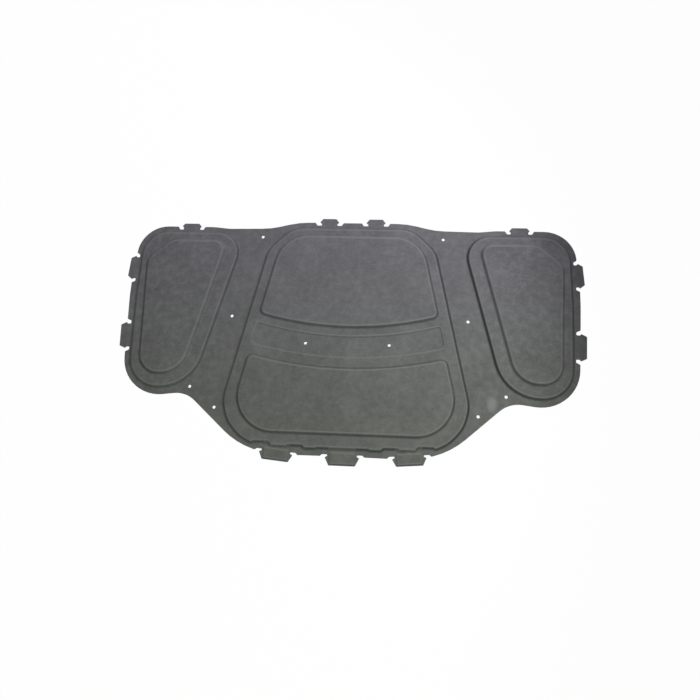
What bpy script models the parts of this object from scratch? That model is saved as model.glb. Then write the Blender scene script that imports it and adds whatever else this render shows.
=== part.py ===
"""Hood insulation pad: one moulded felt piece that lies flat with its visible side up.

Metres, +Z up, +X across the width, +Y towards the edge that lies at the windscreen.
The felt is pressed thin along the edge flange and in the two channels. It rises in three
rings, and again in four panels. Eleven dovetail tabs stand out from the edge, and ten
round clip holes go right through.

The right half is modelled and mirrored. Plan positions are measured from the centre line
(x) and from the lowest tab tip (y). The origin is the middle of the flat back.
"""

import math
from dataclasses import dataclass

import bmesh
import bpy
from mathutils import Matrix, Vector

# Heights, from the flat back upwards
FLANGE_THICKNESS = 0.0035
RING_RISE = 0.0065
PANEL_RISE = 0.0080
STRIP_DEPTH = 0.0032
TAB_PAD_RISE = 0.0022

# Width of the rounded slope at the edge of each raised level
RING_SLOPE = 0.0120
PANEL_SLOPE = 0.0110
STRIP_SLOPE = 0.0045
TAB_PAD_SLOPE = 0.0040

# Outer edge of the flange: bottom, top and side, then how far each other run of the edge
# lies below the top (DROP) or above the bottom (LIFT)
EDGE_BOTTOM = 0.0265
EDGE_TOP = 0.7425
EDGE_SIDE = 0.6840
EDGE_SIDE_Y = 0.4900
WING_TOP_DROP = 0.0190
WAIST_DROP = 0.0240
SHOULDER_DROP = 0.0216
HEEL_LIFT = 0.1640

# Where the top edge turns down, from the centre line, and how long its runs are then: down
# the shoulder, from the waist up to the wing, and on to the notch of the wing's top tab
SHOULDER_IN = 0.1669
SHOULDER_RUN = 0.0866
WAIST_RUN = 0.0500
WING_TOP_RUN = 0.0295
WING_MIDDLE = 0.5500

# The two slanted runs beside the bottom tabs: x, and height above the bottom edge
RUN_RISE = (0.2570, 0.0105)
RUN_DIAGONAL = (0.3595, 0.0680)
RUN_RISE_ANGLE = 16.3
RUN_DIAGONAL_ANGLE = 41.6
HEEL_ANGLE = -7.4
SIDE_LOWER_ANGLE = 88.5
SIDE_UPPER_ANGLE = 93.0
WING_HIGH_ANGLE = 95.5

# Fillets of the flange's edge
HIP_RADIUS = 0.2350
HEEL_RADIUS = 0.0830
WING_LOW_RADIUS = 0.1140
SIDE_RADIUS = 0.5000
WING_HIGH_RADIUS = 0.0945
WAIST_RADIUS = 0.1200
SHOULDER_RADIUS = 0.2500

# Pressed strip left flat between the edge of the flange and the foot of a ring
MARGIN_TOP = 0.0130
MARGIN_SIDE = 0.0170
MARGIN_BOTTOM = 0.0160

# Width of the ring's band between its foot and the foot of the panel inside it
BAND_TOP = 0.0285
BAND_BOTTOM = 0.0415
BAND_OUTER = 0.0290
BAND_INNER = 0.0455
BAND_CENTRE = 0.0345
BAND_CENTRE_LOW = 0.0385

# Slanted sides, as lean from straight up in degrees; x is where each passes SIDE_Y
SIDE_Y = 0.4700
CENTRE_SIDE = 0.3041
CENTRE_LEAN = 12.8
WING_INNER_SIDE = 0.3890
WING_LEAN = 15.0

# The centre ring's lower corner: x, and height above the bottom edge, then lean
RING_LOW = (0.2690, 0.0235)
RING_MIDDLE = (0.3280, 0.0630)
RING_HIGH = (0.3600, 0.1175)
RING_LOW_ANGLE = 24.0
RING_MIDDLE_ANGLE = 47.0
RING_HIGH_ANGLE = 75.0
RING_CORNER_RADIUS = 0.1100
RING_LOW_RADIUS = 0.1200

# The cut corners of the centre ring and of the wing panel, as lengths along the top
RING_CUT = 0.0588
RING_CUT_ANGLE = 135.0
RING_CUT_SIDE_RADIUS = 0.0900
RING_CUT_TOP_RADIUS = 0.1000
WING_CUT = 0.0775
WING_CUT_ANGLE = 138.1
WING_CUT_SIDE_RADIUS = 0.0430
WING_CUT_TOP_RADIUS = 0.0550

# Centre panels and the recessed strip between them
UPPER_PANEL_BOTTOM = 0.4040
STRIP_TOP = 0.3830
STRIP_BOTTOM = 0.3180
LOWER_PANEL_TOP = 0.2895
UPPER_BOW = 1.0000
LOWER_BOW = 1.1700
STRIP_END = 0.0270
UPPER_PANEL_RADIUS = 0.1080
UPPER_PANEL_LOW_RADIUS = 0.0220
LOWER_PANEL_RADIUS = 0.1150
LOWER_PANEL_HIGH_RADIUS = 0.0250
STRIP_LOW_RADIUS = 0.0140
STRIP_HIGH_RADIUS = 0.0090

# Wing ring and wing panel
WING_RING_BOTTOM_RADIUS = 0.1370
WING_RING_LOW_RADIUS = 0.0960
WING_RING_HIGH_RADIUS = 0.0880
WING_RING_INNER_RADIUS = 0.0740
WING_RING_LOWER_ANGLE = 89.6
WING_RING_UPPER_ANGLE = 91.8
WING_PANEL_ANGLE = 88.8
WING_PANEL_BOTTOM_RADIUS = 0.0900
WING_PANEL_LOW_RADIUS = 0.0650
WING_PANEL_INNER_RADIUS = 0.0380

# Clip holes on the right half; the first is placed from the top edge, the last two from
# the bottom edge
HOLE_DIAMETER = 0.0095
HOLE_TOP_X, HOLE_TOP_DROP = 0.2785, 0.0490
HOLE_MIDDLE_X, HOLE_MIDDLE_Y = 0.3565, 0.4375
HOLE_STRIP_X, HOLE_STRIP_LIFT = 0.1255, 0.0410
HOLE_WING_X, HOLE_WING_LIFT = 0.4680, 0.1900
HOLE_LOW_X, HOLE_LOW_LIFT = 0.3885, 0.1300

# Notches beside the tabs, and the tabs' own small sizes
NOTCH_FLARE = 0.0055
NOTCH_RADIUS = 0.0040
TAB_UNDERCUT = 0.0040
TAB_RADIUS = 0.0030
TAB_SHARP_RADIUS = 0.0015
TAB_PAD_GAP = 0.0025
TAB_PAD_SETBACK = 0.0020
TAB_PAD_INSET = 0.0005
TAB_PAD_RADIUS = 0.0050

# Tabs: half widths at the neck, the widest place and the tip, then reach past the edge
TAB_BOTTOM_CENTRE = (0.0430, 0.0500, 0.0385, 0.0265)
TAB_BOTTOM_SIDE = (0.0420, 0.0495, 0.0385, 0.0240)
TAB_SIDE_LOWER = (0.0360, 0.0405, 0.0330, 0.0187)
TAB_SIDE_UPPER = (0.0340, 0.0380, 0.0290, 0.0158)
TAB_TOP_WING = (0.0260, 0.0305, 0.0225, 0.0105)
TAB_TOP_CENTRE = (0.0240, 0.0295, 0.0205, 0.0130)

# The notch at each side of each tab: width and depth
NOTCH_BOTTOM = (0.0160, 0.0052)
NOTCH_SIDE_LOWER = (0.0095, 0.0120)
NOTCH_SIDE_UPPER = (0.0090, 0.0102)
NOTCH_TOP_WING = (0.0115, 0.0095)
NOTCH_TOP_CENTRE = (0.0140, 0.0090)

# Where the tabs stand on their edges, and how much two of them turn
BOTTOM_SIDE_X = 0.1940
BOTTOM_SIDE_LIFT = 0.0050
BOTTOM_SIDE_TURN = 5.0
SIDE_LOWER_Y = 0.3690
SIDE_UPPER_Y = 0.5860
SIDE_UPPER_TURN = 2.0
TOP_WING_INSET = 0.1765
TOP_CENTRE_X = 0.0720

# The centre ring's foot steps round the notches of the bottom tabs: where each step is,
# from the nearest end of a notch or neck, and how high the foot then lies
STEP_AFTER_CENTRE = 0.0160
STEP_BEFORE_SIDE = 0.0170
STEP_PAST_NECK = 0.0080
STEP_BEFORE_NECK = 0.0180
STEP_END = 0.0080
FOOT_BETWEEN_DROP = 0.0025
FOOT_NOTCH_LIFT = 0.0050
FOOT_TAB_LIFT = 0.0015
FOOT_OUTER_LIFT = 0.0120
STEP_RADIUS = 0.0040
STEP_CLEARANCE = 0.0015
STEP_END_ANGLE = -35.0

# How far the working half reaches past the centre line before it is mirrored
OVERLAP = 0.0300
# Depth by which each raised level is rooted in the level below it, and its crisp foot
ROOT = 0.0020
FOOT = 0.0003
SLOPE_STEPS = 4
# Most of a straight run that the fillets at its two ends may take
FILLET_SHARE = 0.98

FELT_COLOUR = (0.125, 0.127, 0.124, 1.0)
FELT_ROUGHNESS = 0.95


@dataclass(frozen=True)
class Tab:
    """A dovetail tab on an edge: where it stands, its sizes and those of its notches."""

    origin: Vector
    along: Vector
    neck: float
    widest: float
    tip: float
    reach: float
    notch_width: float
    notch_depth: float

    def point(self, u, v):
        """The place u along the edge and v out of it."""
        return self.origin + self.along * u + Vector((self.along.y, -self.along.x)) * v


def clear_scene():
    for obj in list(bpy.data.objects):
        bpy.data.objects.remove(obj, do_unlink=True)


def new_collection(name):
    collection = bpy.data.collections.new(name)
    bpy.context.scene.collection.children.link(collection)
    return collection


def felt_material():
    material = bpy.data.materials.new("charcoal felt")
    material.use_nodes = True
    shader = material.node_tree.nodes["Principled BSDF"]
    shader.inputs["Base Color"].default_value = FELT_COLOUR
    shader.inputs["Roughness"].default_value = FELT_ROUGHNESS
    shader.inputs["Metallic"].default_value = 0.0
    return material


def edge(x, y, heading):
    """A straight edge through a point; heading 0 is +X, 90 is +Y."""
    angle = math.radians(heading)
    return Vector((x, y)), Vector((math.cos(angle), math.sin(angle)))


def above_bottom(place, heading):
    """A straight edge through a place whose height is given above the bottom edge."""
    return edge(place[0], EDGE_BOTTOM + place[1], heading)


def crossing(first, second):
    """Where two straight edges cross."""
    (p, d), (q, e) = first, second
    return p + d * ((q - p).cross(e) / d.cross(e))


def corner(first, second, radius):
    """The corner where two straight edges cross, with its fillet radius."""
    point = crossing(first, second)
    return point.x, point.y, radius


def cut_corner(side, top, cut, heading):
    """The slanted edge that cuts off a corner, from a length along its top."""
    point = crossing(side, top)
    return edge(point.x - cut, point.y, heading)


def tab_at(line, sizes, notch, x=None, y=None, turn=0.0):
    """A tab on a straight edge, at the given x or y of that edge."""
    point, along = line
    reach = (x - point.x) / along.x if y is None else (y - point.y) / along.y
    return Tab(point + along * reach, Matrix.Rotation(math.radians(turn), 2) @ along, *sizes, *notch)


def bottom_edge():
    return edge(0.0, EDGE_BOTTOM, 0.0)


def top_edge(drop=0.0):
    return edge(0.0, EDGE_TOP - drop, 180.0)


def wing_bottom(lift=0.0, heading=0.0):
    return edge(WING_MIDDLE, EDGE_BOTTOM + HEEL_LIFT + lift, heading)


def wing_outer(inset, heading):
    return edge(EDGE_SIDE - inset, EDGE_SIDE_Y, heading)


def bottom_centre_tab():
    return tab_at(bottom_edge(), TAB_BOTTOM_CENTRE, NOTCH_BOTTOM, x=0.0)


def bottom_side_tab():
    line = edge(BOTTOM_SIDE_X, EDGE_BOTTOM + BOTTOM_SIDE_LIFT, 0.0)
    return tab_at(line, TAB_BOTTOM_SIDE, NOTCH_BOTTOM, x=BOTTOM_SIDE_X, turn=BOTTOM_SIDE_TURN)


def bow_y(base, radius, x):
    """Height of a shallow bow whose lowest point is on the centre line."""
    return base + radius - math.sqrt(radius * radius - x * x)


def bow(base, radius, x_to, count=6):
    """Points along a shallow bow, from past the centre line to just short of its end."""
    xs = [-OVERLAP + (x_to + OVERLAP) * i / count for i in range(count)]
    return [(x, bow_y(base, radius, x), 0.0) for x in xs]


def bow_corner(base, radius, side, fillet):
    """Where a bow runs into a slanted side."""
    x = side[0].x
    for _ in range(30):
        y = bow_y(base, radius, x)
        x = side[0].x + side[1].x / side[1].y * (y - side[0].y)
    return x, y, fillet


def room_for_fillets(places, reaches):
    """The share of each fillet that fits the straight runs on both sides of its corner."""
    shares = [1.0] * len(places)
    for i, place in enumerate(places):
        wanted = reaches[i - 1] + reaches[i]
        if wanted > 0.0:
            share = FILLET_SHARE * (place - places[i - 1]).length / wanted
            shares[i - 1] = min(shares[i - 1], share)
            shares[i] = min(shares[i], share)
    return shares


def rounded(corners):
    """Closed outline with each corner replaced by the arc of its fillet."""
    places = [Vector((x, y)) for x, y, _ in corners]
    befores = [(places[i - 1] - place).normalized() for i, place in enumerate(places)]
    afters = [-befores[(i + 1) % len(places)] for i in range(len(places))]
    turns = [math.pi - before.angle(after) for before, after in zip(befores, afters)]
    reaches = [radius * math.tan(turn / 2) for (_, _, radius), turn in zip(corners, turns)]
    points = []
    for i, share in enumerate(room_for_fillets(places, reaches)):
        here, before, after, turn = places[i], befores[i], afters[i], turns[i]
        radius, reach = corners[i][2] * share, reaches[i] * share
        if radius <= 0.0 or turn < 1e-3:
            points.append(here)
            continue
        middle = here + (before + after).normalized() * math.hypot(radius, reach)
        side = 1.0 if after.cross(before) > 0 else -1.0
        steps = max(2, math.ceil(math.degrees(turn) / (7.5 if radius > 0.06 else 15.0)))
        spoke = here + before * reach - middle
        for k in range(steps + 1):
            points.append(middle + Matrix.Rotation(side * turn * k / steps, 2) @ spoke)
    return points


def tab_corners(tab, first_half=True):
    """Corners of the edge as it runs through a notch, round the tab and out of a notch."""
    notch = tab.neck + tab.notch_width
    shoulder = 0.12 * tab.reach
    side = [
        (notch + NOTCH_FLARE, 0.0, TAB_RADIUS),
        (notch, -tab.notch_depth, NOTCH_RADIUS),
        (tab.neck, -tab.notch_depth, TAB_RADIUS),
        (tab.neck, shoulder - TAB_UNDERCUT, 0.0),
        (tab.widest, shoulder, TAB_SHARP_RADIUS),
        (tab.tip, tab.reach, TAB_RADIUS),
    ]
    run = [(-u, v, r) for u, v, r in side] if first_half else []
    run += [(u, v, r) for u, v, r in reversed(side)]
    return [(*tab.point(u, v), r) for u, v, r in run]


def step(x, before, after):
    """Two corners where the foot of the ring steps from one height to another."""
    wide = RING_SLOPE + STEP_CLEARANCE
    rise = abs(after - before)
    slant = math.acos(1.0 - rise / (wide + STEP_RADIUS))
    half = rise / math.tan(slant) / 2
    radii = (wide, STEP_RADIUS) if after > before else (STEP_RADIUS, wide)
    return [(x - half, before, radii[0] * 0.98), (x + half, after, radii[1] * 0.98)]


def flange_corners():
    """Outer edge of the right half, from the bottom centre round to the top centre."""
    rise = above_bottom(RUN_RISE, RUN_RISE_ANGLE)
    diagonal = above_bottom(RUN_DIAGONAL, RUN_DIAGONAL_ANGLE)
    heel = wing_bottom(heading=HEEL_ANGLE)
    lower_side = wing_outer(0.0, SIDE_LOWER_ANGLE)
    upper_side = wing_outer(0.0, SIDE_UPPER_ANGLE)
    wing_top = top_edge(WING_TOP_DROP)
    centre = bottom_centre_tab()
    side_tab = tab_at(upper_side, TAB_SIDE_UPPER, NOTCH_SIDE_UPPER, y=SIDE_UPPER_Y, turn=SIDE_UPPER_TURN)
    wing_high = edge(*side_tab.point(side_tab.neck + side_tab.notch_width + NOTCH_FLARE, 0.0), WING_HIGH_ANGLE)
    top_tab = tab_at(wing_top, TAB_TOP_WING, NOTCH_TOP_WING, x=EDGE_SIDE - TOP_WING_INSET)
    wing_top_in = top_tab.origin.x - top_tab.neck - top_tab.notch_width - NOTCH_FLARE - WING_TOP_RUN
    return [
        (-OVERLAP, EDGE_BOTTOM - centre.reach, 0.0),
        *tab_corners(centre, first_half=False),
        *tab_corners(bottom_side_tab()),
        corner(rise, diagonal, HIP_RADIUS),
        corner(diagonal, heel, HEEL_RADIUS),
        corner(heel, lower_side, WING_LOW_RADIUS),
        *tab_corners(tab_at(lower_side, TAB_SIDE_LOWER, NOTCH_SIDE_LOWER, y=SIDE_LOWER_Y)),
        corner(lower_side, upper_side, SIDE_RADIUS),
        *tab_corners(side_tab),
        corner(wing_high, wing_top, WING_HIGH_RADIUS),
        *tab_corners(top_tab),
        (wing_top_in, EDGE_TOP - WING_TOP_DROP, WAIST_RADIUS),
        (wing_top_in - WAIST_RUN, EDGE_TOP - WAIST_DROP, WAIST_RADIUS),
        (SHOULDER_IN + SHOULDER_RUN, EDGE_TOP - SHOULDER_DROP, SHOULDER_RADIUS),
        (SHOULDER_IN, EDGE_TOP, SHOULDER_RADIUS),
        *tab_corners(tab_at(top_edge(), TAB_TOP_CENTRE, NOTCH_TOP_CENTRE, x=TOP_CENTRE_X)),
        (-OVERLAP, EDGE_TOP, 0.0),
    ]


def centre_side(inset):
    """The slanted side of the centre ring, or of what lies that far inside it."""
    return edge(CENTRE_SIDE - inset, SIDE_Y, 90.0 + CENTRE_LEAN)


def wing_side(inset):
    """The slanted side of the wing ring, or of what lies that far inside it."""
    return edge(WING_INNER_SIDE + inset, SIDE_Y, 270.0 + WING_LEAN)


def centre_ring_corners():
    """Foot of the centre ring, which steps round the notches of the bottom tabs."""
    foot = EDGE_BOTTOM + MARGIN_BOTTOM
    low = above_bottom(RING_LOW, RING_LOW_ANGLE)
    middle = above_bottom(RING_MIDDLE, RING_MIDDLE_ANGLE)
    high = above_bottom(RING_HIGH, RING_HIGH_ANGLE)
    side = centre_side(0.0)
    top = top_edge(MARGIN_TOP)
    shoulder = cut_corner(side, top, RING_CUT, RING_CUT_ANGLE)
    centre, beside = bottom_centre_tab(), bottom_side_tab()
    notch = beside.neck + beside.notch_width
    end = BOTTOM_SIDE_X + notch + STEP_END
    outer = foot + FOOT_OUTER_LIFT
    return [
        (-OVERLAP, foot, 0.0),
        *step(centre.neck + centre.notch_width + STEP_AFTER_CENTRE, foot, foot - FOOT_BETWEEN_DROP),
        *step(BOTTOM_SIDE_X - notch - STEP_BEFORE_SIDE, foot - FOOT_BETWEEN_DROP, foot + FOOT_NOTCH_LIFT),
        *step(BOTTOM_SIDE_X - beside.neck + STEP_PAST_NECK, foot + FOOT_NOTCH_LIFT, foot + FOOT_TAB_LIFT),
        *step(BOTTOM_SIDE_X + beside.neck - STEP_BEFORE_NECK, foot + FOOT_TAB_LIFT, outer),
        (end, outer, STEP_RADIUS),
        corner(edge(end, outer, STEP_END_ANGLE), low, RING_SLOPE + STEP_CLEARANCE),
        corner(low, middle, RING_LOW_RADIUS),
        corner(middle, high, RING_CORNER_RADIUS),
        corner(high, side, RING_CORNER_RADIUS),
        corner(side, shoulder, RING_CUT_SIDE_RADIUS),
        corner(shoulder, top, RING_CUT_TOP_RADIUS),
        (-OVERLAP, EDGE_TOP - MARGIN_TOP, 0.0),
    ]


def upper_panel_corners():
    side = centre_side(BAND_CENTRE)
    low = bow_corner(UPPER_PANEL_BOTTOM, UPPER_BOW, side, UPPER_PANEL_LOW_RADIUS)
    return [
        *bow(UPPER_PANEL_BOTTOM, UPPER_BOW, low[0]),
        low,
        corner(side, top_edge(MARGIN_TOP + BAND_TOP), UPPER_PANEL_RADIUS),
        (-OVERLAP, EDGE_TOP - MARGIN_TOP - BAND_TOP, 0.0),
    ]


def lower_panel_corners():
    side = centre_side(BAND_CENTRE_LOW)
    foot = EDGE_BOTTOM + MARGIN_BOTTOM + BAND_BOTTOM
    high = bow_corner(LOWER_PANEL_TOP, LOWER_BOW, side, LOWER_PANEL_HIGH_RADIUS)
    return [
        (-OVERLAP, foot, 0.0),
        corner(edge(0.0, foot, 0.0), side, LOWER_PANEL_RADIUS),
        high,
        *reversed(bow(LOWER_PANEL_TOP, LOWER_BOW, high[0])),
    ]


def strip_corners():
    side = centre_side(STRIP_END + RING_SLOPE)
    low = bow_corner(STRIP_BOTTOM, LOWER_BOW, side, STRIP_LOW_RADIUS)
    high = bow_corner(STRIP_TOP, UPPER_BOW, side, STRIP_HIGH_RADIUS)
    return [
        *bow(STRIP_BOTTOM, LOWER_BOW, low[0]),
        low,
        high,
        *reversed(bow(STRIP_TOP, UPPER_BOW, high[0])),
    ]


def wing_ring_corners():
    bottom = wing_bottom(MARGIN_BOTTOM)
    lower_side = wing_outer(MARGIN_SIDE, WING_RING_LOWER_ANGLE)
    upper_side = wing_outer(MARGIN_SIDE, WING_RING_UPPER_ANGLE)
    top = top_edge(WING_TOP_DROP + MARGIN_TOP)
    inner = wing_side(0.0)
    return [
        corner(inner, bottom, WING_RING_BOTTOM_RADIUS),
        corner(bottom, lower_side, WING_RING_LOW_RADIUS),
        corner(lower_side, upper_side, SIDE_RADIUS),
        corner(upper_side, top, WING_RING_HIGH_RADIUS),
        corner(top, inner, WING_RING_INNER_RADIUS),
    ]


def wing_panel_corners():
    bottom = wing_bottom(MARGIN_BOTTOM + BAND_BOTTOM)
    outer = wing_outer(MARGIN_SIDE + BAND_OUTER, WING_PANEL_ANGLE)
    top = top_edge(WING_TOP_DROP + MARGIN_TOP + BAND_TOP)
    chamfer = cut_corner(outer, top, WING_CUT, WING_CUT_ANGLE)
    inner = wing_side(BAND_INNER)
    return [
        corner(inner, bottom, WING_PANEL_BOTTOM_RADIUS),
        corner(bottom, outer, WING_PANEL_LOW_RADIUS),
        corner(outer, chamfer, WING_CUT_SIDE_RADIUS),
        corner(chamfer, top, WING_CUT_TOP_RADIUS),
        corner(top, inner, WING_PANEL_INNER_RADIUS),
    ]


def tab_pad_corners(tab):
    """The thicker middle of a bottom tab, set back from its tip and from the ring."""
    back = MARGIN_BOTTOM - TAB_PAD_GAP
    front = tab.reach - TAB_PAD_SETBACK
    half = tab.tip - TAB_PAD_INSET
    run = [(-half, -back), (-half, front), (half, front), (half, -back)]
    return [(*tab.point(u, v), TAB_PAD_RADIUS) for u, v in run]


def hole_places():
    """Where the clip holes of the right half stand."""
    return [
        (HOLE_TOP_X, EDGE_TOP - HOLE_TOP_DROP),
        (HOLE_MIDDLE_X, HOLE_MIDDLE_Y),
        (HOLE_STRIP_X, STRIP_BOTTOM + HOLE_STRIP_LIFT),
        (HOLE_WING_X, EDGE_BOTTOM + HOLE_WING_LIFT),
        (HOLE_LOW_X, EDGE_BOTTOM + HOLE_LOW_LIFT),
    ]


def outline_mesh(name, corners, bottom, top):
    """A flat slab: a filled 2D curve with a thickness, made a welded mesh."""
    points = rounded(corners)
    curve = bpy.data.curves.new(name, "CURVE")
    curve.dimensions = "2D"
    curve.fill_mode = "BOTH"
    curve.extrude = (top - bottom) / 2
    spline = curve.splines.new("POLY")
    spline.points.add(len(points) - 1)
    for point, position in zip(spline.points, points):
        point.co = (position.x, position.y, 0.0, 1.0)
    spline.use_cyclic_u = True
    drawn = bpy.data.objects.new(name + " outline", curve)
    bpy.context.scene.collection.objects.link(drawn)
    bpy.context.view_layer.update()
    mesh = bpy.data.meshes.new_from_object(drawn.evaluated_get(bpy.context.evaluated_depsgraph_get()))
    bpy.data.objects.remove(drawn, do_unlink=True)
    mesh.transform(Matrix.Translation((0.0, 0.0, (top + bottom) / 2)))
    bm = bmesh.new()
    bm.from_mesh(mesh)
    bmesh.ops.remove_doubles(bm, verts=bm.verts, dist=0.00001)
    bmesh.ops.recalc_face_normals(bm, faces=bm.faces)
    bm.to_mesh(mesh)
    bm.free()
    mesh.name = name
    return mesh


def wall_height(share):
    """How much of its rise a wall has gained at a share of its width: steepest half way up."""
    return share * share * (3.0 - 2.0 * share)


def raised_mesh(name, corners, root, foot, rise, slope):
    """A raised level: its outline goes up from its root and leans over to a flat top."""
    bm = bmesh.new()
    verts = [bm.verts.new((p.x, p.y, root)) for p in rounded(corners)]
    base = bmesh.ops.contextual_create(bm, geom=verts)["faces"]
    up = bmesh.ops.extrude_face_region(bm, geom=base, use_keep_orig=True)
    lifted = [v for v in up["geom"] if isinstance(v, bmesh.types.BMVert)]
    bmesh.ops.translate(bm, verts=lifted, vec=(0.0, 0.0, foot - root))
    cap = [f for f in up["geom"] if isinstance(f, bmesh.types.BMFace)]
    bmesh.ops.recalc_face_normals(bm, faces=bm.faces)
    for k in range(SLOPE_STEPS):
        gained = wall_height((k + 1) / SLOPE_STEPS) - wall_height(k / SLOPE_STEPS)
        bmesh.ops.inset_region(
            bm,
            faces=cap,
            thickness=slope / SLOPE_STEPS,
            depth=rise * gained,
            use_even_offset=True,
        )
    mesh = bpy.data.meshes.new(name)
    bm.to_mesh(mesh)
    bm.free()
    return mesh


def guide(name, mesh, collection):
    """An object that shapes the pad through a Boolean and isn't part of it."""
    obj = bpy.data.objects.new(name, mesh)
    collection.objects.link(obj)
    obj.hide_render = True
    obj.display_type = "WIRE"
    return obj


def boolean(pad, tool, operation):
    modifier = pad.modifiers.new(tool.name, "BOOLEAN")
    modifier.operation = operation
    modifier.object = tool
    modifier.solver = "EXACT"


def hole_mesh(name, height):
    """All clip holes of the right half as round cutters."""
    bm = bmesh.new()
    for x, y in hole_places():
        bmesh.ops.create_cone(
            bm,
            cap_ends=True,
            segments=24,
            radius1=HOLE_DIAMETER / 2,
            radius2=HOLE_DIAMETER / 2,
            depth=height,
            matrix=Matrix.Translation((x, y, height / 4)),
        )
    mesh = bpy.data.meshes.new(name)
    bm.to_mesh(mesh)
    bm.free()
    return mesh


def build():
    clear_scene()
    parts = new_collection("hood insulation pad")
    guides = new_collection("pad guides")

    flange_top = FLANGE_THICKNESS
    ring_top = flange_top + FOOT + RING_RISE
    panel_top = ring_top + FOOT + PANEL_RISE

    pad = bpy.data.objects.new("hood_insulation_pad", outline_mesh("pad", flange_corners(), 0.0, flange_top))
    pad.data.materials.append(felt_material())
    parts.objects.link(pad)

    rings = {"centre ring": centre_ring_corners(), "wing ring": wing_ring_corners()}
    for name, corners in rings.items():
        mesh = raised_mesh(name, corners, flange_top - ROOT, flange_top + FOOT, RING_RISE, RING_SLOPE)
        boolean(pad, guide(name, mesh, guides), "UNION")

    panels = {
        "upper panel": upper_panel_corners(),
        "lower panel": lower_panel_corners(),
        "wing panel": wing_panel_corners(),
    }
    for name, corners in panels.items():
        mesh = raised_mesh(name, corners, ring_top - ROOT, ring_top + FOOT, PANEL_RISE, PANEL_SLOPE)
        boolean(pad, guide(name, mesh, guides), "UNION")

    tabs = {"centre tab pad": bottom_centre_tab(), "side tab pad": bottom_side_tab()}
    for name, tab in tabs.items():
        corners = tab_pad_corners(tab)
        mesh = raised_mesh(name, corners, flange_top - ROOT, flange_top + FOOT, TAB_PAD_RISE, TAB_PAD_SLOPE)
        boolean(pad, guide(name, mesh, guides), "UNION")

    # The strip is a raised form too, turned over so that it sinks into the ring
    mesh = raised_mesh("strip", strip_corners(), -ROOT, FOOT, STRIP_DEPTH - FOOT, STRIP_SLOPE)
    mesh.transform(Matrix.Diagonal((1.0, 1.0, -1.0, 1.0)))
    mesh.flip_normals()
    mesh.transform(Matrix.Translation((0.0, 0.0, ring_top)))
    boolean(pad, guide("strip", mesh, guides), "DIFFERENCE")
    boolean(pad, guide("clip holes", hole_mesh("clip holes", 4 * panel_top), guides), "DIFFERENCE")

    mirror = pad.modifiers.new("left half", "MIRROR")
    mirror.use_axis = (True, False, False)
    mirror.use_bisect_axis = (True, False, False)
    mirror.use_clip = True
    mirror.merge_threshold = 0.0001

    # The origin is the middle of the back, between the tips of the lowest and highest tabs
    lowest = EDGE_BOTTOM - TAB_BOTTOM_CENTRE[3]
    highest = EDGE_TOP + TAB_TOP_CENTRE[3]
    middle = Matrix.Translation((0.0, -(lowest + highest) / 2, 0.0))
    pad.data.transform(middle)
    for obj in guides.objects:
        obj.data.transform(middle)


build()
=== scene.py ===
"""A hood insulation pad: pressed charcoal felt that lies face up on a white floor.

Metres, +Z up, +X across the pad and +Y towards the edge nearest the windscreen.
"""

import sys
import logging
import math
from dataclasses import dataclass, field
from enum import Enum

import bmesh
import bpy
from mathutils import Matrix, Vector, noise
from mathutils.bvhtree import BVHTree


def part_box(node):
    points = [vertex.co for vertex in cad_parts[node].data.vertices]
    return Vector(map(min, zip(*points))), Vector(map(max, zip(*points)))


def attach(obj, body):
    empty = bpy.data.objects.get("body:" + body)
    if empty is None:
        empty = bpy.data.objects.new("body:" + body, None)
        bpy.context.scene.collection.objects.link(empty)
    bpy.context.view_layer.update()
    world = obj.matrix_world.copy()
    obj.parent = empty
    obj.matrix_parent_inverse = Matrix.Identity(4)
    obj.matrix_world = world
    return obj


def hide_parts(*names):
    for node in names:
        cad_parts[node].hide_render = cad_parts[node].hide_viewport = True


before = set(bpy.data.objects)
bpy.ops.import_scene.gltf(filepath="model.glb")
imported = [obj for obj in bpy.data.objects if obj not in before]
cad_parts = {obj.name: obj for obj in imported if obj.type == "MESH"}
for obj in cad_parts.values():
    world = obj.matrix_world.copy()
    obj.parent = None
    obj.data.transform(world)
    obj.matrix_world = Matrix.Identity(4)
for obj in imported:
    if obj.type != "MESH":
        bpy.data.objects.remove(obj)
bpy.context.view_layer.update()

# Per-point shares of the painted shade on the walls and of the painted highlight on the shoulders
SHADED = "shaded"
HIGHLIT = "highlit"
log = logging.getLogger("hood pad")

Colour = tuple[float, float, float]
Paint = bpy.types.NodeSocket | Colour
WHITE: Colour = (1.0, 1.0, 1.0)


class Level(Enum):
    """How finely the felt's skin is divided: the side of one cell."""

    FULL = 0.0020
    QUICK = 0.0050


class Mixing(Enum):
    """How the second of two colours is laid on the first."""

    OVER = "MIX"
    TINT = "MULTIPLY"


class Value:
    """A number inside a shader. Python's arithmetic on it adds Math nodes."""

    def __init__(self, graph: "Graph", socket: bpy.types.NodeSocket) -> None:
        """Wraps one output socket of a graph."""
        self.graph = graph
        self.socket = socket

    def __add__(self, other: "Number") -> "Value":
        """self + other."""
        return self.graph.math("ADD", self, other)

    def __sub__(self, other: "Number") -> "Value":
        """self - other."""
        return self.graph.math("SUBTRACT", self, other)

    def __rsub__(self, other: "Number") -> "Value":
        """other - self."""
        return self.graph.math("SUBTRACT", other, self)

    def __mul__(self, other: "Number") -> "Value":
        """self * other."""
        return self.graph.math("MULTIPLY", self, other)

    def __truediv__(self, other: "Number") -> "Value":
        """self / other."""
        return self.graph.math("DIVIDE", self, other)

    __radd__ = __add__
    __rmul__ = __mul__

    def __abs__(self) -> "Value":
        """The number without its sign."""
        return self.larger(0.0 - self)

    def clamped(self) -> "Value":
        """The number held between 0 and 1."""
        return self.graph.node("ShaderNodeClamp", {}, {"Value": self}).value("Result")

    def larger(self, other: "Number") -> "Value":
        """The larger of the two numbers."""
        return self.graph.math("MAXIMUM", self, other)


Number = Value | float


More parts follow.
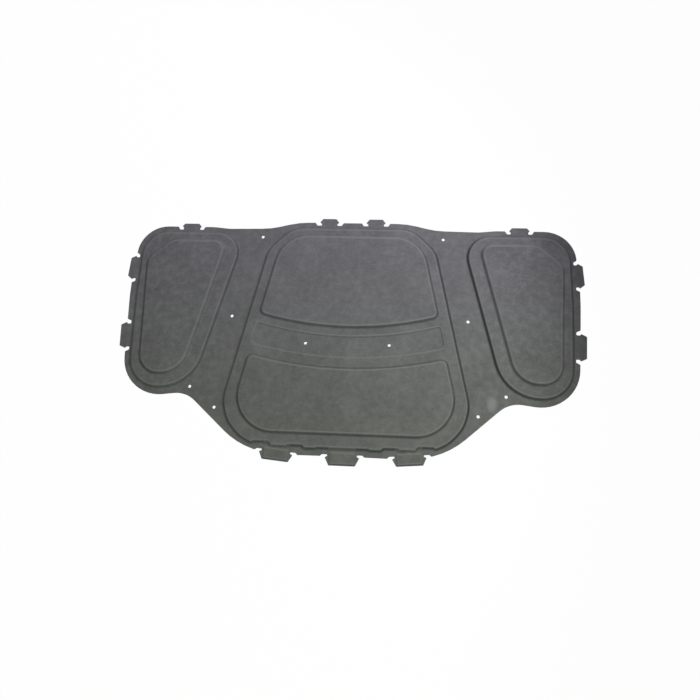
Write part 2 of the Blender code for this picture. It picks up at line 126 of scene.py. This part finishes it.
class Placed:
    """A node in a graph, with its outputs at hand."""

    def __init__(self, graph: "Graph", node: bpy.types.Node) -> None:
        """Keeps the node beside the graph that it is in."""
        self.graph = graph
        self.node = node

    def output(self, name: str) -> bpy.types.NodeSocket:
        """The shown output socket of that name."""
        return next(s for s in self.node.outputs if s.name == name and s.enabled)

    def value(self, name: str) -> Value:
        """The output of that name as a number for arithmetic."""
        return Value(self.graph, self.output(name))


class Graph:
    """The node tree of one material or world."""

    def __init__(self, owner: bpy.types.Material | bpy.types.World) -> None:
        """Empties the owner's node tree, to be filled anew.

        Args:
            owner: the material or world whose nodes these are.
        """
        self.owner = owner
        self.owner.use_nodes = True
        self.tree = self.owner.node_tree
        self.tree.nodes.clear()

    def node(self, kind: str, settings: dict[str, object], sockets: dict[str | int, object]) -> Placed:
        """Adds any node.

        Args:
            kind: Blender's name of the node's type.
            settings: the node's own settings, set first.
            sockets: value, Value or output socket for each input, by name or place.

        Returns:
            The node with its outputs.
        """
        made = self.tree.nodes.new(kind)
        for name, setting in settings.items():
            setattr(made, name, setting)
        for key, given in sockets.items():
            socket = made.inputs[key] if isinstance(key, int) else next(
                s for s in made.inputs if s.name == key and s.enabled
            )
            if isinstance(given, Value):
                self.tree.links.new(given.socket, socket)
            elif isinstance(given, bpy.types.NodeSocket):
                self.tree.links.new(given, socket)
            else:
                socket.default_value = given
        return Placed(self, made)

    def math(self, operation: str, first: Number, second: Number) -> Value:
        """One Math node.

        Args:
            operation: Blender's name of the operation.
            first: the first operand.
            second: the second operand.

        Returns:
            The result as a Value.
        """
        made = self.node("ShaderNodeMath", {"operation": operation}, {0: first, 1: second})
        return made.value("Value")

    def place(self, centre: Vector, turn: float, stretch: Vector) -> bpy.types.NodeSocket:
        """Object coordinates, moved, turned about Z and stretched.

        Args:
            centre: what is added to the coordinates.
            turn: the angle about Z, in radians.
            stretch: the factor along each axis.

        Returns:
            The socket that holds the placed coordinates.
        """
        coordinates = self.node("ShaderNodeTexCoord", {}, {}).output("Object")
        mapped = self.node(
            "ShaderNodeMapping",
            {"vector_type": "POINT"},
            {"Vector": coordinates, "Location": centre, "Rotation": (0.0, 0.0, turn), "Scale": stretch},
        )
        return mapped.output("Vector")

    def cloud(self, where: bpy.types.NodeSocket, size: float, detail: float, rough: float = 0.55) -> Value:
        """Cloudy noise from 0 to 1.

        Args:
            where: the coordinates that it reads.
            size: the size of its largest clouds, in metres.
            detail: how many finer layers it has.
            rough: how strong the finer layers are.

        Returns:
            The noise as a Value.
        """
        made = self.node(
            "ShaderNodeTexNoise",
            {"noise_dimensions": "3D", "normalize": True},
            {"Vector": where, "Scale": 1.0 / size, "Detail": detail, "Roughness": rough},
        )
        return made.value("Fac")

    def along(self, axis: str) -> Value:
        """The place along one of the object's axes, in metres from its origin."""
        coordinates = self.node("ShaderNodeTexCoord", {}, {}).output("Object")
        return self.node("ShaderNodeSeparateXYZ", {}, {"Vector": coordinates}).value(axis)

    def attribute(self, name: str) -> Value:
        """A number that the mesh holds at each of its points."""
        settings = {"attribute_type": "GEOMETRY", "attribute_name": name}
        return self.node("ShaderNodeAttribute", settings, {}).value("Fac")

    def ramp(self, amount: Value, low: float, high: float) -> Value:
        """Stretches the span from low to high over 0 to 1, and holds it there."""
        return ((amount - low) / (high - low)).clamped()

    def blend(
        self, share: Number, first: Paint, second: Paint, way: Mixing = Mixing.OVER
    ) -> bpy.types.NodeSocket:
        """Mixes two colours.

        Args:
            share: how much of the second colour there is.
            first: the first colour or its socket.
            second: the second colour or its socket.
            way: how the second is laid on the first.

        Returns:
            The mixed colour's socket.
        """
        under, over = (c if isinstance(c, bpy.types.NodeSocket) else (*c, 1.0) for c in (first, second))
        made = self.node(
            "ShaderNodeMix",
            {"data_type": "RGBA", "blend_type": way.value, "clamp_factor": True},
            {"Factor": share, "A": under, "B": over},
        )
        return made.output("Result")

    def finish(self, surface: bpy.types.NodeSocket) -> None:
        """Puts a shader on the owner's output.

        Args:
            surface: the shader's socket.
        """
        world = isinstance(self.owner, bpy.types.World)
        kind = "ShaderNodeOutputWorld" if world else "ShaderNodeOutputMaterial"
        self.node(kind, {}, {"Surface": surface})


@dataclass(frozen=True)
class FeltFinish:
    """Matted grey fibres that pressing made into a smooth skin; the colour also holds painted shade on the
    walls, a painted highlight on the shoulders and a painted tint of the light.
    """

    dark: Colour = (0.099, 0.099, 0.099)
    plain: Colour = (0.126, 0.126, 0.126)
    pale: Colour = (0.162, 0.162, 0.162)
    fibre: Colour = (0.225, 0.225, 0.225)
    # The colour of the painted shade on the walls
    pressed_and_shaded: Colour = (0.027, 0.027, 0.027)
    # The pale colour of the rubbed fuzz and the rubbed patch, and of the painted highlight on the
    # shoulders
    rubbed_and_highlit: Colour = (0.220, 0.220, 0.220)

    # Mottling: three noises, their shares of the tone, and the tones that turn dark and pale
    patch_size: float = 0.110
    patch_detail: float = 2.0
    patch_share: float = 0.30
    cloud_size: float = 0.020
    cloud_detail: float = 4.0
    cloud_rough: float = 0.62
    cloud_share: float = 0.45
    grain_size: float = 0.0030
    grain_detail: float = 2.0
    grain_share: float = 0.25
    dark_span: tuple[float, float] = (0.36, 0.50)
    pale_span: tuple[float, float] = (0.50, 0.66)

    # Fibres: streaks in three directions, in degrees, each moved on by its turn
    fibre_length: float = 0.0150
    fibre_width: float = 0.0012
    fibre_detail: float = 1.0
    fibre_turns: tuple[float, ...] = (12.0, 71.0, 127.0)
    fibre_shift: float = 0.01
    fibre_span: tuple[float, float] = (0.62, 0.80)
    fibre_share: float = 0.40

    # Fuzz on the wings: from where it starts to where it is full, across the pad
    fuzz_reach: tuple[float, float] = (0.36, 0.48)
    fuzz_clouds: float = 0.6
    fuzz_grain: float = 0.4
    fuzz_span: tuple[float, float] = (0.50, 0.64)
    fuzz_share: float = 0.20

    # Painted shade on the walls grows from the left side to the middle, and stays so to the right
    shade_reach: tuple[float, float] = (-0.60, 0.05)
    shade_left: float = 0.35
    shade_right: float = 1.00
    # The share of the pale colour that the painted highlight on the shoulders takes
    highlight_share: float = 0.80

    # One rubbed patch low on the right: its middle, half sizes and soft edge
    scuff_place: tuple[float, float] = (0.4275, -0.1850)
    scuff_half: tuple[float, float] = (0.0160, 0.0230)
    scuff_span: tuple[float, float] = (0.45, 1.15)
    scuff_share: float = 0.85

    # Painted tint of the light: a drift of hue from the front to the back, full at this distance from the
    # middle
    front_light_tint: Colour = (0.935, 1.000, 0.890)
    back_light_tint: Colour = (0.985, 0.972, 1.060)
    light_tint_reach: float = 0.24

    roughness: float = 0.94
    sheen: float = 0.10
    sheen_roughness: float = 0.6
    specular: float = 0.25
    bump_clouds: float = 0.35
    bump_grain: float = 0.40
    bump_fibres: float = 0.25
    bump_strength: float = 0.55
    bump_height: float = 0.0004

    def fibres(self, graph: Graph) -> Value:
        """Thin pale streaks that cross one another.

        Args:
            graph: where the nodes go.

        Returns:
            From 0 between streaks to 1 on them.
        """
        seen: Value | None = None
        stretch = Vector((self.fibre_width / self.fibre_length, 1.0, 1.0))
        for turn in self.fibre_turns:
            where = graph.place(Vector((turn * self.fibre_shift, 0.0, 0.0)), math.radians(turn), stretch)
            streak = graph.ramp(graph.cloud(where, self.fibre_width, self.fibre_detail), *self.fibre_span)
            seen = streak if seen is None else seen.larger(streak)
        return seen

    def mottled(self, graph: Graph, patches: Value, clouds: Value, grain: Value) -> bpy.types.NodeSocket:
        """The felt's colour before fibres, wear and pressing.

        Args:
            graph: where the nodes go.
            patches: the widest noise.
            clouds: the middle noise.
            grain: the finest noise.

        Returns:
            The colour's socket, with more pale fuzz on the wings.
        """
        tone = patches * self.patch_share + clouds * self.cloud_share + grain * self.grain_share
        darker = graph.blend(graph.ramp(tone, *self.dark_span), self.dark, self.plain)
        paler = graph.blend(graph.ramp(tone, *self.pale_span), darker, self.pale)
        wings = graph.ramp(abs(graph.along("X")), *self.fuzz_reach)
        tufts = graph.ramp(clouds * self.fuzz_clouds + grain * self.fuzz_grain, *self.fuzz_span)
        return graph.blend(wings * tufts * self.fuzz_share, paler, self.rubbed_and_highlit)

    def handled(self, graph: Graph, felt: bpy.types.NodeSocket) -> bpy.types.NodeSocket:
        """The colour with painted highlight on the shoulders, painted shade on the walls and the one
        rubbed patch.

        Args:
            graph: where the nodes go.
            felt: the colour so far.

        Returns:
            The colour's socket.
        """
        # Painted highlight on the shoulders
        rubbed_and_highlit = graph.blend(graph.attribute(HIGHLIT) * self.highlight_share, felt, self.rubbed_and_highlit)
        # Painted shade on the walls, weaker towards the left side
        side = graph.ramp(graph.along("X"), *self.shade_reach)
        share = side * (self.shade_right - self.shade_left) + self.shade_left
        shaded = graph.blend(graph.attribute(SHADED) * share, rubbed_and_highlit, self.pressed_and_shaded)
        return graph.blend(self.scuff(graph) * self.scuff_share, shaded, self.rubbed_and_highlit)

    def scuff(self, graph: Graph) -> Value:
        """One small rubbed patch.

        Args:
            graph: where the nodes go.

        Returns:
            From 0 round the patch to 1 in its middle.
        """
        stretch = Vector((1.0 / self.scuff_half[0], 1.0 / self.scuff_half[1], 0.0))
        centre = Vector((-self.scuff_place[0] * stretch.x, -self.scuff_place[1] * stretch.y, 0.0))
        where = graph.place(centre, 0.0, stretch)
        away = graph.node("ShaderNodeVectorMath", {"operation": "LENGTH"}, {0: where}).value("Value")
        return 1.0 - graph.ramp(away, *self.scuff_span)

    def light_tinted(self, graph: Graph, colour: bpy.types.NodeSocket) -> bpy.types.NodeSocket:
        """The colour with a painted tint of the light, which drifts in hue from the front edge to the
        back.

        Args:
            graph: where the nodes go.
            colour: the colour so far.

        Returns:
            The colour's socket.
        """
        back = graph.ramp(graph.along("Y"), -self.light_tint_reach, self.light_tint_reach)
        light_tint = graph.blend(back, self.front_light_tint, self.back_light_tint)
        return graph.blend(1.0, colour, light_tint, Mixing.TINT)

    def material(self) -> bpy.types.Material:
        """Builds the felt's material.

        Returns:
            The material.
        """
        graph = Graph(bpy.data.materials.new("charcoal felt"))
        where = graph.place(Vector((0.0, 0.0, 0.0)), 0.0, Vector((1.0, 1.0, 1.0)))
        patches = graph.cloud(where, self.patch_size, self.patch_detail)
        clouds = graph.cloud(where, self.cloud_size, self.cloud_detail, self.cloud_rough)
        grain = graph.cloud(where, self.grain_size, self.grain_detail)
        fibres = self.fibres(graph)
        mottled = self.mottled(graph, patches, clouds, grain)
        felt = graph.blend(fibres * self.fibre_share, mottled, self.fibre)
        # The painted highlight and shade go on first, then the painted tint of the light
        colour = self.light_tinted(graph, self.handled(graph, felt))
        height = clouds * self.bump_clouds + grain * self.bump_grain + fibres * self.bump_fibres
        bump = graph.node(
            "ShaderNodeBump",
            {},
            {"Strength": self.bump_strength, "Distance": self.bump_height, "Height": height},
        )
        shader = graph.node(
            "ShaderNodeBsdfPrincipled",
            {},
            {
                "Base Color": colour,
                "Roughness": self.roughness,
                "Metallic": 0.0,
                "Sheen Weight": self.sheen,
                "Sheen Roughness": self.sheen_roughness,
                "Specular IOR Level": self.specular,
                "Normal": bump.output("Normal"),
            },
        )
        graph.finish(shader.output("BSDF"))
        return graph.owner


@dataclass(frozen=True)
class FloorFinish:
    """A white floor that reads as white and still takes the pad's shadow."""

    colour: Colour = (0.90, 0.90, 0.90)
    white: float = 1.0
    shown_white: float = 0.980

    def material(self) -> bpy.types.Material:
        """Builds the floor's material.

        Returns:
            The material.
        """
        graph = Graph(bpy.data.materials.new("white floor"))
        matte = graph.node("ShaderNodeBsdfDiffuse", {}, {"Color": (*self.colour, 1.0)})
        glow = graph.node("ShaderNodeEmission", {}, {"Color": (*WHITE, 1.0), "Strength": self.white})
        path = graph.node("ShaderNodeLightPath", {}, {})
        seen = path.value("Is Camera Ray")
        for ray in ("Is Glossy Ray", "Is Transmission Ray"):
            seen = seen.larger(path.value(ray))
        both = graph.node(
            "ShaderNodeMixShader",
            {},
            {0: seen * self.shown_white, 1: matte.output("BSDF"), 2: glow.output("Emission")},
        )
        graph.finish(both.output("Shader"))
        return graph.owner


@dataclass(frozen=True)
class WallShading:
    """Painted shade on the felt's walls and a painted highlight on its shoulders, set by place and by
    which way each faces.
    """

    # Walls lower than this are the rings' and the strip's. A steeper lean counts as the full one
    ring_height: float = 0.0105
    ring_lean: float = 0.66
    panel_lean: float = 0.88
    wall_start: float = 0.52
    level_lean: float = 0.01
    ring_shade: float = 0.88
    panel_shade: float = 0.64

    # The strip and what lies beside it: half its width, and its place and half its depth
    strip_shade: float = 0.40
    strip_half: float = 0.300
    strip_middle: float = -0.040
    strip_reach: float = 0.080

    # Where the centre ring meets the bottom tabs: each tab's place and half width
    roots: tuple[tuple[float, float], ...] = ((0.0, 0.042), (0.191, 0.040))
    root_front: float = -0.352
    root_back: float = -0.310
    root_shade: float = 0.55

    # The wings start at this place across, which lies further out towards the front
    wing_from: float = 0.347
    wing_slant: float = 0.206

    # What is added to the painted shade where a wall faces one way; on the wings for a ring and for a
    # panel
    facing_across: float = 0.16
    facing_back: float = 0.60
    facing_strip: float = 0.14
    facing_front: float = 0.22
    facing_inward: tuple[float, float] = (0.22, -0.10)
    facing_outward: tuple[float, float] = (-0.20, -0.14)

    # Painted highlight on the shoulders: the bend that gives the full one, and its share at the sides,
    # towards the front and towards the back
    shoulder_bend: float = 0.00026
    highlight_level: float = 0.28
    highlight_front: float = 0.62
    highlight_back: float = 0.30

    def by_strip(self, x: float, y: float) -> bool:
        """Whether a place is on the strip or beside it."""
        return abs(x) < self.strip_half and abs(y - self.strip_middle) < self.strip_reach

    def at_root(self, x: float, y: float) -> bool:
        """Whether a place is where the centre ring meets a bottom tab."""
        return self.root_front < y < self.root_back and any(
            abs(abs(x) - at) < half for at, half in self.roots
        )

    def wall_shade(self, x: float, y: float, height: float, lean: Vector) -> float:
        """How much painted shade a wall has: it darkens the felt there.

        Args:
            x: the place.
            y: the place.
            height: the felt's height there.
            lean: its rise over its run, across and along.

        Returns:
            The share of the full painted shade, from 0 to 1.
        """
        steep = lean.length
        if steep < self.level_lean:
            return 0.0
        panel = height >= self.ring_height
        level = self.panel_shade if panel else self.ring_shade
        full = self.panel_lean if panel else self.ring_lean
        back = self.facing_back
        if self.by_strip(x, y):
            level = level if panel else self.strip_shade
            back = self.facing_strip
        if self.at_root(x, y):
            level *= self.root_shade
        away_x, away_y = -lean.x / steep, -lean.y / steep
        if abs(x) < self.wing_from - self.wing_slant * y:
            facing = self.facing_across * away_x
        else:
            outward = away_x * math.copysign(1.0, x)
            facing = (self.facing_outward if outward > 0.0 else self.facing_inward)[panel] * abs(outward)
        facing -= back * max(away_y, 0.0) + self.facing_front * max(-away_y, 0.0)
        on_wall = min(max((steep / full - self.wall_start) / (1.0 - self.wall_start), 0.0), 1.0)
        return min(max(level + facing, 0.0) * on_wall, 1.0)

    def shoulder_highlight(self, bend: float, lean: Vector) -> float:
        """How much painted highlight a shoulder has: it is paler there.

        Args:
            bend: how far the felt around lies above the place.
            lean: its rise over its run, across and along.

        Returns:
            The share of the full painted highlight: more towards the front and the back than at the sides.
        """
        towards = lean.y / max(lean.length, self.level_lean)
        full = self.highlight_level + self.highlight_front * max(towards, 0.0) + self.highlight_back * max(-towards, 0.0)
        return min(max(-bend, 0.0) / self.shoulder_bend, 1.0) * full


@dataclass(frozen=True)
class Swell:
    """One slow or fine unevenness of the felt, as layered noise."""

    size: float
    height: float
    slice_at: float
    fade: float
    step: float
    layers: int = 3

    def at(self, x: float, y: float) -> float:
        """How far it lifts or lowers the felt at a place."""
        place = Vector((x, y, self.slice_at)) / self.size
        return noise.fractal(place, self.fade, self.step, self.layers) * self.height


@dataclass
class Pad:
    """The pad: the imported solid's form under a fine, slightly uneven skin of felt."""

    node: str = "hood_insulation_pad"
    name: str = "felt_pad"
    level: Level = Level.FULL

    # The blank from which the outline is cut, and how far the solid is drawn out to cut it
    margin: float = 0.010
    stretch: float = 1000.0
    blank_low: float = 1.0
    blank_high: float = 2.0
    weld: float = 0.00001
    sliver: float = 0.00005

    # Two rings of places round each point, which measure the form. Close to the edge only the
    # near one is whole, and the lean that it finds counts for more
    near_reach: float = 0.0013
    near_samples: int = 5
    far_reach: float = 0.0030
    far_samples: int = 12
    edge_gain: float = 1.8
    centre_weight: int = 2

    # A fine groove at the foot of each wall, and the least thickness
    foot_bend: float = 0.00045
    groove: float = 0.00030
    least: float = 0.0010

    swells: tuple[Swell, ...] = (
        Swell(size=0.090, height=0.00045, slice_at=0.3, fade=1.0, step=2.0),
        Swell(size=0.016, height=0.00016, slice_at=1.7, fade=0.8, step=2.1),
    )
    crease_angle: float = 50.0
    # Where the walls get painted shade and the shoulders a painted highlight
    wall_shading: WallShading = field(default_factory=WallShading)
    finish: FeltFinish = field(default_factory=FeltFinish)

    def solid(self) -> bmesh.types.BMesh:
        """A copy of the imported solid.

        Returns:
            The copy, with its triangles welded together.
        """
        welded = bmesh.new()
        welded.from_mesh(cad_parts[self.node].data)
        bmesh.ops.remove_doubles(welded, verts=welded.verts, dist=self.weld)
        return welded

    def cutter(self, welded: bmesh.types.BMesh) -> bpy.types.Object:
        """The solid drawn out upwards, so that its flange reaches past the blank.

        Args:
            welded: the solid.

        Returns:
            The drawn-out solid as an object.
        """
        mesh = bpy.data.meshes.new("outline")
        welded.to_mesh(mesh)
        mesh.transform(Matrix.Diagonal((1.0, 1.0, self.stretch, 1.0)))
        drawn = bpy.data.objects.new("outline", mesh)
        bpy.context.scene.collection.objects.link(drawn)
        return drawn

    def blank(self) -> bpy.types.Object:
        """A slab with a fine grid on its top, from which the outline is cut.

        Returns:
            The slab as an object.
        """
        low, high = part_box(self.node)
        width = high.x - low.x + 2 * self.margin
        depth = high.y - low.y + 2 * self.margin
        size = Matrix.Diagonal((width / 2, depth / 2, 1.0, 1.0))
        slab = bmesh.new()
        bmesh.ops.create_grid(
            slab,
            x_segments=round(width / self.level.value),
            y_segments=round(depth / self.level.value),
            size=1.0,
            matrix=Matrix.Translation((0.0, 0.0, self.blank_high)) @ size,
        )
        rim = [e for e in slab.edges if e.is_boundary]
        drop = bmesh.ops.extrude_edge_only(slab, edges=rim)["geom"]
        lowered = [v for v in drop if isinstance(v, bmesh.types.BMVert)]
        bmesh.ops.translate(slab, verts=lowered, vec=(0.0, 0.0, self.blank_low - self.blank_high))
        bmesh.ops.contextual_create(slab, geom=[e for e in drop if isinstance(e, bmesh.types.BMEdge)])
        bmesh.ops.recalc_face_normals(slab, faces=slab.faces)
        mesh = bpy.data.meshes.new(self.name)
        slab.to_mesh(mesh)
        slab.free()
        made = bpy.data.objects.new(self.name, mesh)
        bpy.context.scene.collection.objects.link(made)
        return made

    def cut(self, blank: bpy.types.Object, outline: bpy.types.Object) -> None:
        """Keeps what of the blank lies inside the outline.

        Args:
            blank: the slab, whose mesh is replaced.
            outline: the drawn-out solid, which is removed.
        """
        boolean = blank.modifiers.new("outline", "BOOLEAN")
        boolean.operation = "INTERSECT"
        boolean.solver = "MANIFOLD"
        boolean.object = outline
        bpy.context.view_layer.update()
        evaluated = blank.evaluated_get(bpy.context.evaluated_depsgraph_get())
        mesh = bpy.data.meshes.new_from_object(evaluated)
        blank.modifiers.clear()
        blank.data = mesh
        bpy.data.objects.remove(outline)

    def ring(self, tree: BVHTree, x: float, y: float, reach: float, samples: int) -> list[Vector]:
        """Where the solid is met at places on a ring round a place.

        Args:
            tree: the solid's faces.
            x: the ring's centre.
            y: the ring's centre.
            reach: the ring's radius.
            samples: how many places it has.

        Returns:
            The points met, without the places that lie off the pad.
        """
        met = []
        for step in range(samples):
            angle = math.tau * step / samples
            start = Vector((x + reach * math.cos(angle), y + reach * math.sin(angle), self.blank_low))
            hit = tree.ray_cast(start, Vector((0.0, 0.0, -1.0)))[0]
            if hit is not None:
                met.append(hit)
        return met

    def surface(self, tree: BVHTree, x: float, y: float) -> tuple[float, float, Vector]:
        """The felt's height at a place, and how it bends and leans there.

        Args:
            tree: the solid's faces.
            x: the place.
            y: the place.

        Returns:
            The height, averaged over a small round patch; the bend, which is how far
            the felt around lies above the place; and the rise over the run, across and along.
        """
        centre = self.ring(tree, x, y, 0.0, 1) * self.centre_weight
        near = centre + self.ring(tree, x, y, self.near_reach, self.near_samples)
        if not near:
            return 0.0, 0.0, Vector((0.0, 0.0))
        height = sum(p.z for p in near) / len(near)
        samples, reach, gain = self.far_samples, self.far_reach, 1.0
        around = self.ring(tree, x, y, reach, samples)
        bend = sum(p.z for p in around) / samples - height
        if len(around) < samples:
            reach, gain = self.near_reach, self.edge_gain
            around = self.ring(tree, x, y, reach, samples)
            bend = 0.0
        if len(around) < samples:
            return height, 0.0, Vector((0.0, 0.0))
        scale = 2.0 * gain / (samples * reach**2)
        lean = Vector([sum((p[k] - at) * p.z for p in around) * scale for k, at in ((0, x), (1, y))])
        return height, bend, lean

    def drape(self, mesh: bpy.types.Mesh, tree: BVHTree) -> None:
        """Lowers the cut blank onto the solid's form.

        Args:
            mesh: the cut blank's mesh.
            tree: the solid's faces.
        """
        middle = (self.blank_low + self.blank_high) / 2
        skin = bmesh.new()
        skin.from_mesh(mesh)
        bmesh.ops.dissolve_degenerate(skin, edges=skin.edges, dist=self.sliver)
        shaded = skin.verts.layers.float.new(SHADED)
        highlit = skin.verts.layers.float.new(HIGHLIT)
        for vert in skin.verts:
            x, y, z = vert.co
            if z < middle:
                vert.co.z = 0.0
                continue
            height, bend, lean = self.surface(tree, x, y)
            # Painted shade on the walls, kept per point for the felt's colour
            vert[shaded] = self.wall_shading.wall_shade(x, y, height, lean)
            # Painted highlight on the shoulders, kept per point for the felt's colour
            vert[highlit] = self.wall_shading.shoulder_highlight(bend, lean)
            pressed_and_shaded = self.groove * min(max(bend, 0.0) / self.foot_bend, 1.0) ** 2
            uneven = sum(swell.at(x, y) for swell in self.swells)
            vert.co.z = max(height + uneven - pressed_and_shaded, self.least)
        bmesh.ops.recalc_face_normals(skin, faces=skin.faces)
        skin.to_mesh(mesh)
        skin.free()

    def build(self) -> bpy.types.Object:
        """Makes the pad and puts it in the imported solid's place.

        Returns:
            The finished pad.
        """
        welded = self.solid()
        tree = BVHTree.FromBMesh(welded)
        outline = self.cutter(welded)
        welded.free()
        pad = self.blank()
        self.cut(pad, outline)
        self.drape(pad.data, tree)
        pad.data.shade_smooth()
        pad.data.set_sharp_from_angle(angle=math.radians(self.crease_angle))
        pad.data.materials.clear()
        pad.data.materials.append(self.finish.material())
        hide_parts(self.node)
        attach(pad, "root")
        log.info("%s: %d faces", pad.name, len(pad.data.polygons))
        return pad


@dataclass
class Floor:
    """The white floor that the pad lies on."""

    half: float = 30.0
    drop: float = 0.0005
    finish: FloorFinish = field(default_factory=FloorFinish)

    def build(self) -> bpy.types.Object:
        """Makes the floor just below the pad's back.

        Returns:
            The floor.
        """
        sheet = bmesh.new()
        bmesh.ops.create_grid(sheet, x_segments=1, y_segments=1, size=self.half)
        bmesh.ops.translate(sheet, verts=sheet.verts, vec=(0.0, 0.0, -self.drop))
        mesh = bpy.data.meshes.new("floor")
        sheet.to_mesh(mesh)
        sheet.free()
        mesh.materials.append(self.finish.material())
        made = bpy.data.objects.new("floor", mesh)
        bpy.context.scene.collection.objects.link(made)
        log.info("floor: %.0f m wide", 2 * self.half)
        return made


@dataclass(frozen=True)
class Lamp:
    """One soft round lamp whose beam fades out towards its edge.

    The angles of the beam are in degrees from its middle: its edge, and where it is still full.
    """

    name: str
    place: tuple[float, float, float]
    aim: tuple[float, float, float]
    power: float
    beam: float
    full_beam: float
    radius: float

    def build(self) -> bpy.types.Object:
        """Makes the lamp and turns it to its aim.

        Returns:
            The lamp.
        """
        light = bpy.data.lights.new(self.name, "SPOT")
        light.energy = self.power
        light.shadow_soft_size = self.radius
        light.spot_size = 2 * math.radians(self.beam)
        edge, full = math.cos(math.radians(self.beam)), math.cos(math.radians(self.full_beam))
        light.spot_blend = (full - edge) / (1.0 - edge)
        made = bpy.data.objects.new(self.name, light)
        made.location = self.place
        made.rotation_euler = (Vector(self.aim) - Vector(self.place)).to_track_quat("-Z", "Y").to_euler()
        made.visible_camera = False
        bpy.context.scene.collection.objects.link(made)
        return made


@dataclass
class Studio:
    """Plain soft light, with a surround that only the camera sees as white."""

    sky: float = 0.124
    lamps: tuple[Lamp, ...] = (
        Lamp("key lamp", (1.05, 0.62, 1.87), (-1.20, -0.28, 0.0), 185.0, 41.0, 30.5, 0.16),
        Lamp("back lamp", (-0.80, 1.50, 1.20), (0.00, 0.00, 0.0), 9.0, 75.0, 60.0, 0.20),
        Lamp("low lamp", (0.00, -1.20, 0.90), (0.00, 0.00, 0.0), 6.0, 75.0, 60.0, 0.30),
    )

    def surround(self) -> bpy.types.World:
        """The world: even light from all sides, and white where the camera sees it.

        Returns:
            The world.
        """
        graph = Graph(bpy.data.worlds.new("surround"))
        light = graph.node("ShaderNodeBackground", {}, {"Color": (*WHITE, 1.0), "Strength": self.sky})
        white = graph.node("ShaderNodeBackground", {}, {"Color": (*WHITE, 1.0)})
        seen = graph.node("ShaderNodeLightPath", {}, {}).output("Is Camera Ray")
        both = graph.node(
            "ShaderNodeMixShader",
            {},
            {0: seen, 1: light.output("Background"), 2: white.output("Background")},
        )
        graph.finish(both.output("Shader"))
        return graph.owner

    def build(self) -> None:
        """Sets the surround and makes the lamps."""
        scene = bpy.context.scene
        scene.world = self.surround()
        scene.view_settings.view_transform = "Standard"
        for lamp in self.lamps:
            lamp.build()
            log.info("%s: %.0f W", lamp.name, lamp.power)


@dataclass
class Viewpoint:
    """Where the camera stands, and how it is turned about its own axis."""

    aim: tuple[float, float] = (0.01056, -0.03662)
    azimuth: float = 22.375
    elevation: float = 77.349
    roll: float = -20.212
    distance: float = 2.0884
    lens: float = 36.0
    sensor: float = 36.0
    image_side: int = 700
    centre_offset: float = 0.5
    nearest: float = 0.05
    farthest: float = 100.0

    def build(self) -> bpy.types.Object:
        """Makes the camera and sets it as the scene's.

        Returns:
            The camera.
        """
        turn, rise, roll = (math.radians(a) for a in (self.azimuth, self.elevation, self.roll))
        back = Vector((math.sin(turn) * math.cos(rise), -math.cos(turn) * math.cos(rise), math.sin(rise)))
        level = Vector((math.cos(turn), math.sin(turn), 0.0))
        upright = back.cross(level)
        right = level * math.cos(roll) + upright * math.sin(roll)
        up = upright * math.cos(roll) - level * math.sin(roll)
        pixel = self.distance * self.sensor / self.lens / self.image_side
        place = Vector((*self.aim, 0.0)) + back * self.distance
        place += (up - right) * (self.centre_offset * pixel)
        data = bpy.data.cameras.new("camera")
        data.lens = self.lens
        data.sensor_width = self.sensor
        data.sensor_fit = "HORIZONTAL"
        data.clip_start, data.clip_end = self.nearest, self.farthest
        camera = bpy.data.objects.new("camera", data)
        camera.matrix_world = Matrix.Translation(place) @ Matrix((right, up, back)).transposed().to_4x4()
        bpy.context.scene.collection.objects.link(camera)
        bpy.context.scene.camera = camera
        log.info("camera: %.2f m away", self.distance)
        return camera


def main() -> None:
    """Builds the scene in order: camera, pad, floor and light."""
    logging.basicConfig(level=logging.INFO, format="%(name)s: %(message)s", stream=sys.stdout)
    Viewpoint().build()
    Pad(level=Level.FULL).build()
    Floor().build()
    Studio().build()


if __name__ == "__main__":
    main()
